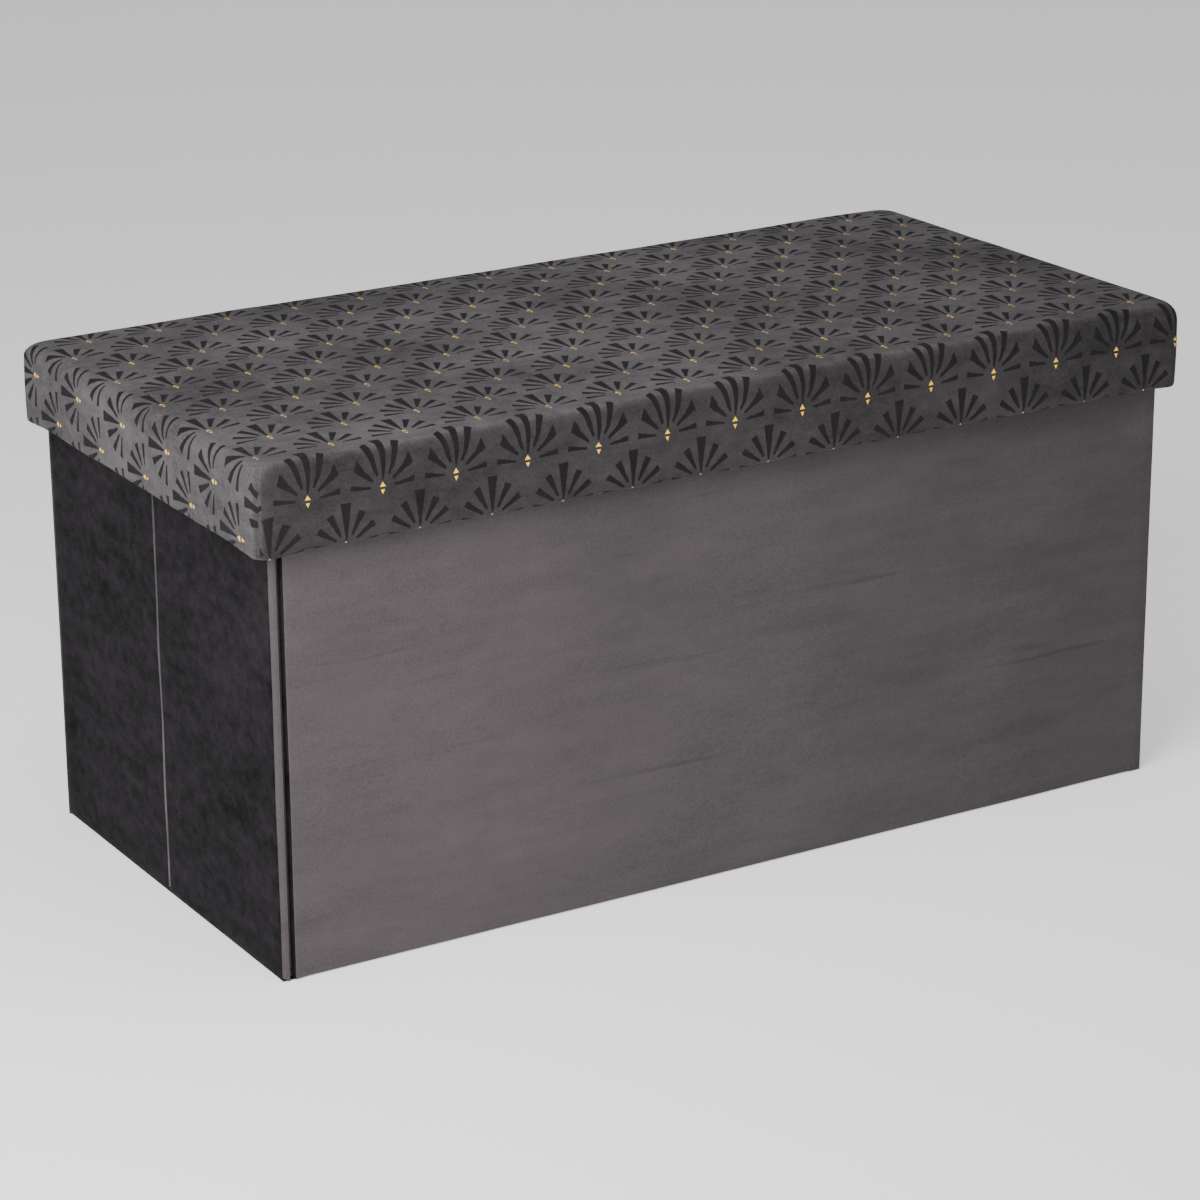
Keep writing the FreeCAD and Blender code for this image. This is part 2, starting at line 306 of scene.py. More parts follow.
def print_masks(surface):
    """Masks, from 0 to 1, of the dark petals and the gilt triangles."""
    cloth = surface.add("ShaderNodeUVMap", {}, uv_map="print").outputs[0]
    wobble = surface.add("ShaderNodeTexNoise", {"Vector": cloth, "Scale": 260.0, "Detail": 2.0})
    centred = surface.math("SUBTRACT", wobble.outputs["Fac"], 0.5)
    shaken = surface.math("MULTIPLY", centred, PRINT_WOBBLE)
    parts = surface.add("ShaderNodeSeparateXYZ", {"Vector": cloth})
    height = surface.math("SUBTRACT", parts.outputs["Y"], FIRST_ROW - CELL_FOOT)
    row = surface.math("FLOOR", surface.math("DIVIDE", height, ROW))
    up = surface.math("SUBTRACT", surface.math("MULTIPLY_ADD", row, -ROW, height), CELL_FOOT)
    shift = surface.math("MULTIPLY", surface.math("FLOORED_MODULO", row, 2.0), COLUMN / 2)
    along = surface.math("SUBTRACT", surface.math("SUBTRACT", parts.outputs["X"], FIRST_COLUMN),
                         shift)
    cell = surface.math("ROUND", surface.math("DIVIDE", along, COLUMN))
    side = surface.math("ABSOLUTE", surface.math("MULTIPLY_ADD", cell, -COLUMN, along))
    inside = None
    for angle, near, far, half_angle in PETALS:
        sine, cosine = math.sin(math.radians(angle)), math.cos(math.radians(angle))
        reach = surface.math("MULTIPLY_ADD", side, sine, surface.math("MULTIPLY", up, cosine))
        across = surface.math("ABSOLUTE", surface.math(
            "MULTIPLY_ADD", side, cosine, surface.math("MULTIPLY", up, -sine)))
        flank = surface.math("SUBTRACT", surface.math(
            "MULTIPLY", reach, math.tan(math.radians(half_angle))), across)
        ends = surface.math("MINIMUM", surface.math("SUBTRACT", reach, near),
                            surface.math("SUBTRACT", far, reach))
        petal = surface.math("MINIMUM", flank, ends)
        inside = petal if inside is None else surface.math("MAXIMUM", inside, petal)
    petals = surface.spread(surface.math("ADD", inside, shaken), -0.00025, 0.00025)
    triangles = None
    for sign, foot, half_width, tall in TRIANGLES:
        rise = surface.math("SUBTRACT", surface.math("MULTIPLY", up, sign), foot)
        flank = surface.math("SUBTRACT", surface.math(
            "MULTIPLY_ADD", rise, -half_width / tall, half_width), side)
        triangle = surface.math("MINIMUM", rise, flank)
        triangles = triangle if triangles is None else surface.math("MAXIMUM", triangles, triangle)
    faded = surface.math("MULTIPLY", shaken, 0.6)
    gilt = surface.spread(surface.math("ADD", triangles, faded), -0.0001, 0.0002)
    return petals, gilt


def lid_velvet():
    """Printed velvet of the lid, darker on the front as painted shade, with the gilt duller where it
    faces up.
    """
    surface = Surface("lid_velvet", **VELVET_SHADER)
    petals, gilt = print_masks(surface)
    facing = surface.facing()
    forward = surface.axis(facing, "Y")
    # Darker where the lid faces the front: painted shade.
    painted_front_shade = surface.spread(forward, -0.95, -0.25, 0.46, 1.0)
    lid_nap_and_shade = surface.math("MULTIPLY", nap(surface, 0.52, 0.42, 0.36, 0.50, (0, 0, 0.5)), painted_front_shade)
    ground = surface.tint(srgb(*LID_PILE), lid_nap_and_shade)
    dark = surface.tint(srgb(*PETAL_PILE), nap(surface, 0.20, 0.2, 0.3, 0.3))
    colour = surface.mix(petals, ground, dark)
    upward = surface.axis(facing, "Z")
    # The gilt is duller, in patches, where the lid faces up.
    dulled = surface.math("MULTIPLY", surface.spread(upward, 0.55, 0.97, 0.0, 0.75),
                        surface.spread(surface.noise(40, (1, 1, 1), 2, 0.5), 0.35, 0.6, 0.45, 1.0))
    foil = surface.mix(dulled, srgb(*GILT), srgb(*DULL_GILT))
    colour = surface.mix(gilt, colour, foil)
    return surface.finish(Base_Color=colour, Normal=pile_bump(surface))


def non_woven(name, colour):
    """Thin non-woven cloth with a pressed dot pattern."""
    surface = Surface(name, Roughness=0.8, Specular_IOR_Level=0.25)
    fibres = surface.noise(700, (1, 1, 1), 4, 0.7)
    dots = surface.add("ShaderNodeTexVoronoi", {"Vector": surface.coordinates(),
                                                "Scale": 520.0, "Randomness": 0.15})
    press = surface.spread(dots.outputs["Distance"], 0.25, 0.5)
    height = surface.math("MULTIPLY_ADD", fibres, 0.35, press)
    shade = surface.spread(height, 0.2, 1.3, 0.75, 1.2)
    return surface.finish(Base_Color=surface.tint(colour, shade),
                          Normal=surface.bump(height, 0.00025, 0.7))


def hardboard():
    """Brown pressed board with a speckle of fibres."""
    surface = Surface("hardboard", Roughness=0.72, Specular_IOR_Level=0.3)
    fibres = surface.noise(500, (1, 1, 1), 5, 0.75)
    clouds = surface.noise(22, (1, 1, 1), 3, 0.5)
    shade = surface.math("ADD", surface.spread(fibres, 0.3, 0.7, 0.75, 1.15),
                         surface.spread(clouds, 0.3, 0.7, -0.08, 0.08))
    return surface.finish(Base_Color=surface.tint(srgb(132, 96, 62), shade),
                          Normal=surface.bump(fibres, 0.0002, 0.5))


def thread():
    """Grey sewing cord with a fine twist, darker higher up as painted shade."""
    surface = Surface("seam_thread", Roughness=0.75, Specular_IOR_Level=0.2, Sheen_Weight=0.3)
    fray = surface.noise(900, (1, 1, 2), 3, 0.7)
    long_fade = surface.noise(14, (1, 1, 1), 2, 0.5)
    shade = surface.math("ADD", surface.spread(fray, 0.3, 0.7, 0.6, 1.15),
                         surface.spread(long_fade, 0.3, 0.7, -0.3, 0.1))
    height = surface.axis(surface.coordinates(), "Z")
    # Darker higher up the fold, towards the lid: painted shade.
    shade = surface.math("MULTIPLY", shade, surface.spread(height, 0.02, 0.30, 1.0, 0.55))
    return surface.finish(Base_Color=surface.tint(srgb(96, 91, 96), shade),
                          Normal=surface.bump(fray, 0.0002, 0.6))


def ribbon_weave():
    """Black grosgrain ribbon: cross ribs and a fine weave."""
    surface = Surface("ribbon", Roughness=0.62, Specular_IOR_Level=0.35, Sheen_Weight=0.2)
    wave = surface.add("ShaderNodeTexWave", {"Vector": surface.coordinates(), "Scale": 190.0,
                                             "Distortion": 0.4, "Detail": 1.0},
                       wave_type="BANDS", bands_direction="X")
    shade = surface.spread(wave.outputs["Fac"], 0.1, 0.9, 0.7, 1.3)
    return surface.finish(Base_Color=surface.tint(srgb(34, 32, 35), shade),
                          Normal=surface.bump(wave.outputs["Fac"], 0.0003, 0.8))


def staple_wire():
    """Zinc-plated staple wire."""
    surface = Surface("staple_wire", Metallic=1.0)
    scuff = surface.noise(600, (1, 1, 1), 3, 0.6)
    return surface.finish(Base_Color=surface.tint(srgb(178, 178, 182),
                                                  surface.spread(scuff, 0.3, 0.7, 0.8, 1.1)),
                          Roughness=surface.spread(scuff, 0.3, 0.7, 0.28, 0.5))


def floor_material():
    """Matt white studio floor."""
    surface = Surface("studio_floor", Roughness=0.9, Specular_IOR_Level=0.1,
                      Emission_Color=(1, 1, 1, 1), Emission_Strength=0.5)
    cloud = surface.noise(1.5, (1, 1, 1), 2, 0.5)
    return surface.finish(Base_Color=surface.tint(srgb(244, 244, 244),
                                                  surface.spread(cloud, 0.3, 0.7, 0.99, 1.0)))


# ---- mesh helpers

def facing_out(points, faces):
    """The faces, turned over if they enclose a negative volume."""
    volume = 0.0
    for face in faces:
        first = Vector(points[face[0]])
        for second, third in zip(face[1:], face[2:]):
            volume += first.dot(Vector(points[second]).cross(Vector(points[third])))
    return faces if volume > 0 else [face[::-1] for face in faces]


def mesh_piece(name, points, faces, body, material, crease=35):
    """A smooth-shaded closed piece with sharp edges where faces meet at a wide angle."""
    faces = facing_out(points, faces)
    mesh = bpy.data.meshes.new(name)
    mesh.from_pydata(points, [], faces)
    mesh.polygons.foreach_set("use_smooth", [True] * len(faces))
    mesh.set_sharp_from_angle(angle=math.radians(crease))
    mesh.materials.append(material)
    piece = new_object(name, mesh)
    if body:
        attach(piece, body)
    return piece


def wave(point, wavelength, size, seed=0.0):
    """Smooth noise of about +-size that varies over the wavelength."""
    return size * noise.noise(Vector(point) / wavelength + Vector((seed, 2.3 * seed, -seed)))


def axis_stops(low, high, radius_low, radius_high, step, extra=()):
    """Coordinates from low to high, closer together in the rounded ends."""
    angles = [math.radians(a) for a in (45, 32, 18, 0)]
    stops = [low + radius_low * (1 - math.tan(a)) for a in angles] if radius_low else [low]
    ends = [high - radius_high * (1 - math.tan(a)) for a in angles] if radius_high else [high]
    start, stop = stops[-1], ends[-1]
    count = max(1, round((stop - start) / step))
    inner = [start + (stop - start) * i / count for i in range(1, count)]
    inner = [c for c in inner if all(abs(c - e) > step / 4 for e in extra)] + list(extra)
    return stops + sorted(inner) + ends[::-1]


def box_surface(xs, ys, zs):
    """Points and outward quads of a box whose faces are divided at these coordinates."""
    index = {}
    points = []
    faces = []

    def corner(i, j, k):
        if (i, j, k) not in index:
            index[i, j, k] = len(points)
            points.append((xs[i], ys[j], zs[k]))
        return index[i, j, k]

    nx, ny, nz = len(xs) - 1, len(ys) - 1, len(zs) - 1
    for i in range(nx):
        for j in range(ny):
            low = [corner(i, j, 0), corner(i, j + 1, 0), corner(i + 1, j + 1, 0), corner(i + 1, j, 0)]
            high = [corner(i, j, nz), corner(i + 1, j, nz), corner(i + 1, j + 1, nz),
                    corner(i, j + 1, nz)]
            faces += [low, high]
    for i in range(nx):
        for k in range(nz):
            front = [corner(i, 0, k), corner(i + 1, 0, k), corner(i + 1, 0, k + 1), corner(i, 0, k + 1)]
            back = [corner(i, ny, k), corner(i, ny, k + 1), corner(i + 1, ny, k + 1),
                    corner(i + 1, ny, k)]
            faces += [front, back]
    for j in range(ny):
        for k in range(nz):
            left = [corner(0, j, k), corner(0, j, k + 1), corner(0, j + 1, k + 1), corner(0, j + 1, k)]
            right = [corner(nx, j, k), corner(nx, j + 1, k), corner(nx, j + 1, k + 1),
                     corner(nx, j, k + 1)]
            faces += [left, right]
    return points, faces


def layered_faces(wide, tall, turned=False):
    """Faces of two layers of points, each in `tall` rows of `wide`, closed along the rim."""
    size = wide * tall
    faces = []
    for row in range(tall - 1):
        for i in range(wide - 1):
            a = row * wide + i
            b = a + size
            if turned:
                faces += [(a, a + 1, a + wide + 1, a + wide), (b, b + wide, b + wide + 1, b + 1)]
            else:
                faces += [(a, a + wide, a + wide + 1, a + 1), (b, b + 1, b + wide + 1, b + wide)]
    rim = list(range(wide)) + [row * wide + wide - 1 for row in range(1, tall)]
    rim += [(tall - 1) * wide + i for i in range(wide - 2, -1, -1)]
    rim += [row * wide for row in range(tall - 2, 0, -1)]
    for a, b in zip(rim, rim[1:] + rim[:1]):
        faces.append((b, a, a + size, b + size) if turned else (a, b, b + size, a + size))
    return faces


def ring_faces(rows, around):
    """Faces between rings of points that lie one above another."""
    faces = []
    for row in range(rows - 1):
        for step in range(around):
            a, b = row * around + step, row * around + (step + 1) % around
            faces.append((a, b, b + around, a + around))
    return faces


# ---- walls

EDGE = 0.0020              # rounding of a wall's outer edges
BEAD = 0.0034              # rounding of an end wall's edge beside the groove
FINE_EDGE = 0.0006         # rounding where the skin alone ends
FOOT_EDGE = 0.0015         # rounding of the foot of the front and back walls
SOFT_FOOT = 0.0040         # rounding of the foot of an end wall's soft hem
STEP = 0.009               # spacing of the mesh along a wall and up it
SAME_PLACE = 0.001         # ends no further apart than this count as one
BOARD_STEP = 0.0004        # length over which the inner face steps out past a board's end
SKIN_GAP = 0.0002          # gap between an end wall and the skin of the wall next to it
CLEARANCE = 0.0009         # how far a skin that runs over its neighbour is kept proud of it
CLEAR_RUN = 0.012          # length over which the skin rises to that
OVERLAP = 0.00015          # inner face of a slab, past the board and into its lining


def undulate(point):
    """How far the velvet stands proud of or behind the flat board at a point."""
    return wave(point, 0.11, 0.0007, 3.1) + wave(point, 0.035, 0.00022, 7.7)


def fall(distance, radius):
    """How far a quarter-round edge lies below the face, at a distance from the rim."""
    if distance >= radius:
        return 0.0
    return radius - math.sqrt(radius ** 2 - (radius - distance) ** 2)


def on_long_wall(side):
    """Places a point given along the front (-1) or back (1) wall, below its skin and up."""
    return lambda along, depth, z: Vector((along, side * (SKIN_Y - depth), z))


def on_end_wall(side):
    """Places a point given along the left (-1) or right (1) wall, below its skin and up."""
    return lambda along, depth, z: Vector((side * (END_X - depth), along, z))


def velvet_wall(name, place, span, heights, rims, body, material, board=None):
    """A board wrapped in velvet, with soft outer edges and a slightly uneven face.

    rims are the edge radii at the span's start and stop and at the foot and top. Outside the
    board's own span the wall is only the velvet skin, which runs on over its neighbour.
    """
    board = board or span
    steps = [stop for stop in board
             if min(abs(stop - span[0]), abs(stop - span[1])) > SAME_PLACE]
    extra = steps + [stop + math.copysign(BOARD_STEP, stop) for stop in steps]
    alongs = axis_stops(*span, rims[0], rims[1], STEP, extra)
    whole = BOARD_AND_VELVET + OVERLAP
    depths = [whole] + [BOARD_AND_VELVET * part for part in (0.75, 0.5, 0.25, 0.0)]
    levels = axis_stops(*heights, rims[2], rims[3], STEP)
    points, faces = box_surface(alongs, depths, levels)
    shaped = []
    for along, depth, z in points:
        share = 1 - depth / whole
        on_board = board[0] - HAIR <= along <= board[1] + HAIR
        thick = whole if on_board else VELVET - HAIR
        pull = fall(along - span[0], rims[0]) + fall(span[1] - along, rims[1])
        pull += fall(z - heights[0], rims[2]) + fall(heights[1] - z, rims[3])
        past = max(abs(along) - (board[1] - CLEAR_RUN), 0.0) / CLEAR_RUN if steps else 0.0
        pull = min(pull, 0.9 * thick) - undulate(place(along, 0, z)) - CLEARANCE * min(past, 1.0)
        shaped.append(place(along, (1 - share) * thick + share * pull, z))
    return mesh_piece(name, shaped, faces, body, material)


def long_wall(name, side, left, right, body, material):
    """The front or back wall; the back one moves, so its hem is a piece that crumples."""
    label = "front" if side < 0 else "back"
    low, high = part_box(f"{label}_velvet")
    rims = [EDGE * 0.9 if abs(end) <= high.x + SAME_PLACE else FINE_EDGE for end in (left, right)]
    board = (low.x, high.x)
    if side < 0:
        wall = velvet_wall(name, on_long_wall(side), (left, right), (0.0, WALL_TOP),
                           (*rims, FOOT_EDGE, EDGE), body, material, board)
        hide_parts(f"{label}_velvet", f"{label}_hem")
        return
    wall = velvet_wall(name, on_long_wall(side), (left, right), (HEM_TOP, WALL_TOP),
                       (*rims, 0.0, EDGE), body, material, board)
    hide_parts(f"{label}_velvet")
    hem = velvet_wall(f"{label}_soft_hem", on_long_wall(side), (left, right), (0.0, HEM_TOP),
                      (*rims, FOOT_EDGE, 0.0), body, material, board)
    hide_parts(f"{label}_hem")
    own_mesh(hem)


def end_half(side, front, body, material):
    """Half of an end wall, and the soft hem under it, which crumples up as the wall folds."""
    name = body.replace("_half", "")
    low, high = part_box(f"{name}_velvet")
    skin = SKIN_Y - VELVET - SKIN_GAP
    start = low.y if front and side < 0 else max(low.y, -skin)
    span = (start, min(high.y, skin))
    rims = (BEAD if start == low.y and front else EDGE * 0.5, EDGE * 0.5)
    wall = velvet_wall(f"{name}_wall", on_end_wall(side), span, (HEM_TOP, WALL_TOP),
                       (*rims, 0.0, EDGE), body, material)
    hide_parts(f"{name}_velvet")
    hem = velvet_wall(f"{name}_soft_hem", on_end_wall(side), span, (0.0, HEM_TOP),
                      (*rims, SOFT_FOOT, 0.0), body, material)
    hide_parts(f"{name}_hem")
    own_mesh(hem)


GROOVE_START = 0.0010      # the groove's edge, past the end of the front board
GROOVE_LIP = 0.0016        # how far the groove's mouth lies below the skin
GROOVE_CLOTH = 0.0006      # thickness of the cloth in the groove
GROOVE_FOOT = 0.0020       # height of the front grooves' lower end
GROOVE_HEAD = 0.0006       # how far the grooves end below the walls' top
GROOVE_LEVELS = 48


def hinge_cloth(side, front, body, material):
    """The strip of velvet that dips into the groove between an end wall and a long wall."""
    ends = "right" if side > 0 else "left"
    rows = [(0.0, 0.0), (0.0006, 0.0009), (0.0013, 0.0016), (0.0021, 0.0019), (0.0029, 0.0016),
            (0.0036, 0.0009), (0.0041, 0.0)]
    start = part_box("front_board")[1].x + GROOVE_START
    mouth = SKIN_Y - GROOVE_LIP
    foot = GROOVE_FOOT if front else HEM_TOP
    levels = [foot + (WALL_TOP - GROOVE_HEAD - foot) * k / GROOVE_LEVELS
              for k in range(GROOVE_LEVELS + 1)]
    points = []
    for layer in (0.0, GROOVE_CLOTH):
        for z in levels:
            for x, depth in rows:
                sway = wave((x, depth, z), 0.02, 0.0002, 1.7)
                y = mouth - depth - layer + sway
                points.append(Vector((side * (start + x), (-1 if front else 1) * y, z)))
    faces = layered_faces(len(rows), len(levels), turned=True)
    name = f"{ends}_{'front' if front else 'rear'}"
    jointed = front or side < 0     # the walls' closed loop is opened at the right rear corner
    piece = mesh_piece(f"{name}_groove_cloth", points, faces, None if jointed else body,
                       material)
    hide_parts(f"{name}_hinge_cloth")
    if jointed:
        y, z = (-mouth if front else mouth), WALL_TOP / 2
        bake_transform(piece)


def fold_cord(side, body, material):
    """The stitched cord down the fold of an end wall: two strands laid over each other."""
    ends = "right" if side > 0 else "left"
    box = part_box(f"{ends}_fold_seam")
    foot, head = box[0].z - 0.0012, box[1].z + 0.006
    strand, pitch, sides = 0.00050, 0.0046, 6
    steps = round((head - foot) / pitch * 10)
    points, faces = [], []
    for phase in (0.0, math.pi):
        first = len(points)
        for step in range(steps + 1):
            z = foot + (head - foot) * step / steps
            turn = 2 * math.pi * (z - foot) / pitch + phase
            wide = 0.00078 + wave((0, 0, z), 0.03, 0.0004, 5.5)
            sunk = 0.0005 * max(0.0, (z - foot) / (head - foot)) + wave((0, 0, z), 0.06, 0.0005, 3.3)
            centre = Vector((side * (END_X + 0.00045 - sunk + 0.00030 * math.cos(turn)),
                             wide * math.sin(turn) + wave((0, 0, z), 0.05, 0.0011, 9.1), z))
            for corner in range(sides):
                angle = 2 * math.pi * corner / sides
                points.append(centre + strand * Vector((math.cos(angle), math.sin(angle), 0)))
        for step in range(steps):
            for corner in range(sides):
                a = first + step * sides + corner
                b = first + step * sides + (corner + 1) % sides
                faces.append((a, b, b + sides, a + sides))
        faces.append(tuple(first + c for c in range(sides))[::-1])
        faces.append(tuple(first + steps * sides + c for c in range(sides)))
    piece = mesh_piece(f"{ends}_fold_cord", points, faces, body, material, 60)
    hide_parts(f"{ends}_fold_seam")


def bottom_sheet(material):
    """The thin cloth under the bench, sewn to the walls and slightly rippled."""
    low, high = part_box("bottom_cloth")
    nx, ny, thick = 90, 44, 0.0005
    points = []
    for layer in range(2):
        for j in range(ny + 1):
            for i in range(nx + 1):
                x = low.x + (high.x - low.x) * i / nx
                y = low.y + (high.y - low.y) * j / ny
                z = HAIR + thick * layer + abs(wave((x, y, 0), 0.05, 0.00018, 4.2))
                points.append(Vector((x, y, z)))
    faces = layered_faces(nx + 1, ny + 1)
    piece = mesh_piece("bottom_sheet", points, faces, "front_wall", material)
    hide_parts("bottom_cloth")
    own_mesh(piece)


def ribbon_tab(material):
    """A doubled ribbon, sewn to the base board, to lift it by."""
    low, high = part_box("base_tab")
    middle = (low.y + high.y) / 2
    half = (high.y - low.y) / 2
    base = low.z
    path = []
    for x, z in ((0.0, 0.0), (0.008, 0.0), (0.016, 0.0003), (0.026, 0.0028), (0.036, 0.0064),
                 (0.046, 0.0090), (0.054, 0.0098), (0.0585, 0.0088), (0.0590, 0.0070),
                 (0.0560, 0.0058), (0.047, 0.0052), (0.036, 0.0034), (0.026, 0.0014),
                 (0.016, 0.0008), (0.008, 0.0007), (0.0, 0.0007)):
        path.append((low.x + x, base + z))
    thick, across = 0.0006, 10
    count = len(path)
    points = []
    for layer in range(2):
        for index in range(count):
            x, z = path[index]
            before, after = path[max(index - 1, 0)], path[min(index + 1, count - 1)]
            along = Vector((after[0] - before[0], 0, after[1] - before[1])).normalized()
            out = Vector((along.z, 0, -along.x)) * thick * (0.5 - layer)
            for j in range(across + 1):
                y = middle + half * (2 * j / across - 1)
                droop = wave((x, y, z), 0.02, 0.0004, 2.2) * min(index, count - 1 - index) / 6
                points.append(Vector((x, y, z + thick / 2 + droop)) + out)
    faces = layered_faces(across + 1, count)
    piece = mesh_piece("ribbon_tab", points, faces, "base", material)
    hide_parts("base_tab")


# ---- lid

SHOULDER = 0.009          # width of the cover's rounded upper edge
SHOULDER_DROP = 0.009     # height of the cover's rounded upper edge
CORNER = 0.011            # plan radius of the corners at the hem
CORNER_GROWTH = 0.20      # how much the plan radius grows per metre of inset
SHOULDER_TOP = 0.3655     # height at which the shoulder meets the top
BEND = SHOULDER_TOP - SHOULDER_DROP                     # height at which the sides start to round
SHOULDER_ARC = (SHOULDER + SHOULDER_DROP) * math.pi / 4  # length of cloth over the shoulder
CROWN = 0.0015            # rise of the top from the shoulder to the middle
FRONT_RISE = 0.0055       # how much fuller the pad is along the front than along the back
SIDE_STEP = 0.0065        # spacing of the mesh along the straight sides
CORNER_STEPS = 5          # mesh steps in half a corner
STRAIGHT_STEPS = [round(2 * (half - SHOULDER) / SIDE_STEP) for half in (HALF_X, HALF_Y)]
TURNED_DEPTH = 0.0055     # inner face of the turned hem, in from the outside
LINED_DEPTH = 0.0047      # outer face of the turned hem's inside, against the rim
HEM_ROLL = 0.0024         # height over which the cloth rolls round the hem's edge
ROLL_ROWS = 6             # rows of the profile in that roll
PUFF = 0.0009             # how far the cover's sides stand out
BELLY = 0.0006            # how much further they stand out half-way down
SEAM_DEPTH = 0.0006       # depth of the groove along a corner seam
DROOP = 0.0022            # how far the hem hangs down at a corner
DROOP_RUN = 0.03          # distance from the corner over which it hangs


def ring(inset, corner):
    """Plan points of a rounded rectangle, anticlockwise from the middle of the front-left corner."""
    half = (HALF_X - inset, HALF_Y - inset)
    points = []
    for side in range(4):
        long, wide = half[side % 2], half[1 - side % 2]
        straight = STRAIGHT_STEPS[side % 2]
        local = []
        for step in range(CORNER_STEPS):
            angle = math.radians(225 + 45 * step / CORNER_STEPS)
            local.append((-long + corner + corner * math.cos(angle),
                          -wide + corner + corner * math.sin(angle)))
        for step in range(straight + 1):
            local.append((-(long - corner) + 2 * (long - corner) * step / straight, -wide))
        for step in range(1, CORNER_STEPS):
            angle = math.radians(270 + 45 * step / CORNER_STEPS)
            local.append((long - corner + corner * math.cos(angle),
                          -wide + corner + corner * math.sin(angle)))
        turn = (math.cos(side * math.pi / 2), math.sin(side * math.pi / 2))
        points += [(x * turn[0] - y * turn[1], x * turn[1] + y * turn[0]) for x, y in local]
    return points


def side_lengths():
    """Number of mesh steps along the front and along an end."""
    return [straight + 2 * CORNER_STEPS for straight in STRAIGHT_STEPS]


def patch(boundary, nx, ny):
    """A grid of plan points, [j][i], that fills a closed boundary of 2 (nx + ny) points."""
    front = boundary[:nx + 1]
    right = boundary[nx:nx + ny + 1]
    back = boundary[nx + ny:2 * nx + ny + 1][::-1]
    left = (boundary[2 * nx + ny:] + boundary[:1])[::-1]
    grid = []
    for j in range(ny + 1):
        v = j / ny
        row = []
        for i in range(nx + 1):
            u = i / nx
            row.append(tuple(
                (1 - v) * front[i][c] + v * back[i][c] + (1 - u) * left[j][c] + u * right[j][c]
                - (1 - u) * (1 - v) * front[0][c] - u * (1 - v) * front[nx][c]
                - (1 - u) * v * back[0][c] - u * v * back[nx][c] for c in range(2)))
        grid.append(row)
    return grid


def crown_height(x, y):
    """Height of the padded top inside the shoulder."""
    u = min(abs(x) / (HALF_X - SHOULDER), 1)
    v = min(abs(y) / (HALF_Y - SHOULDER), 1)
    return SHOULDER_TOP + CROWN * (1 - u ** 3.2) * (1 - v ** 2.4)


def cover_profile():
    """Rows of the cover from the hidden underside, round the hem and up to the shoulder's top.

    Each row is inset, height, and length down the cloth from the shoulder's top. The rows come
    in two lists: the inside with the roll round the hem, and the outside above it.
    """
    board_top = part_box("lid_board")[1].z + HAIR
    turned_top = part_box("lid_hem")[1].z
    skin, lined, fold = VELVET + HAIR, LINED_DEPTH - HAIR, HEM_Z + VELVET + HAIR
    rows = [(skin, board_top), (skin, board_top - 0.012), (skin, fold), (lined, fold),
            (lined, turned_top), (TURNED_DEPTH, turned_top),
            (TURNED_DEPTH, turned_top - 0.006), (TURNED_DEPTH, turned_top - 0.012),
            (TURNED_DEPTH, HEM_Z + 0.0016), (TURNED_DEPTH - 0.0006, HEM_Z + 0.0005),
            (TURNED_DEPTH - 0.0018, HEM_Z), (0.0020, HEM_Z), (0.0008, HEM_Z + 0.0004),
            (0.0002, HEM_Z + 0.0012), (0.0, HEM_Z + HEM_ROLL)]
    inner = [(inset, z, SHOULDER_ARC + BEND - z) for inset, z in rows]
    outer = []
    steps = max(2, round((BEND - HEM_Z - HEM_ROLL) / 0.005))
    for step in range(1, steps + 1):
        z = HEM_Z + HEM_ROLL + (BEND - HEM_Z - HEM_ROLL) * step / steps
        outer.append((0.0, z, SHOULDER_ARC + BEND - z))
    for step in range(1, 11):
        angle = math.radians(9 * step)
        outer.append((SHOULDER - SHOULDER * math.cos(angle),
                      BEND + SHOULDER_DROP * math.sin(angle),
                      SHOULDER_ARC * (1 - angle * 2 / math.pi)))
    return inner, outer


def plan_corner(inset, z):
    """Plan radius of the corner of a row."""
    if z < BEND:
        return max(CORNER - inset, 0.004)
    return CORNER + CORNER_GROWTH * inset


def shape_cover(x, y, z, inset, seam):
    """The padded cover's own shape: wavy sides, a drooping hem, corner seams and a fuller front."""
    low_side = max(0.0, min(1.0, (BEND - z) / (BEND - HEM_Z)))
    outside = max(0.0, 1 - inset / 0.004) if z < BEND else 1.0
    push = PUFF + wave((x, y, z), 0.09, 0.0010, 1.3) + wave((x, y, z), 0.03, 0.0004, 6.1)
    push = max(push + BELLY * math.sin(math.pi * low_side), 0.0) * outside
    flat = max(0.0, 1 - inset / SHOULDER)
    away = Vector((x / HALF_X if abs(x) > HALF_X - 0.02 else 0.0,
                   y / HALF_Y if abs(y) > HALF_Y - 0.02 else 0.0, 0))
    if away.length > 0:
        away.normalize()
    corner = Vector((HALF_X - abs(x), HALF_Y - abs(y))).length
    droop = DROOP * math.exp(-(corner / DROOP_RUN) ** 2)
    hem = low_side ** 3 * (wave((x, y, 0), 0.05, 0.0009, 8.8) + wave((x, y, 0), 0.012, 0.0003, 4.4)
                           - droop)
    groove = -SEAM_DEPTH * seam * outside * flat
    place = Vector((x, y, z + hem)) + away * (push * flat + groove)
    if z >= BEND:
        full = min((z - BEND) / SHOULDER_DROP, 1.0)
        place.z += FRONT_RISE * full * (HALF_Y - y) / (2 * HALF_Y)
        place.z += (1 - flat) * (wave((x, y, 0), 0.10, 0.0016, 2.9)
                                 + wave((x, y, 0), 0.034, 0.00045, 5.2))
    return place


FRONT, RIGHT, BACK, LEFT, FLAT = range(5)     # side of the cover that a face belongs to


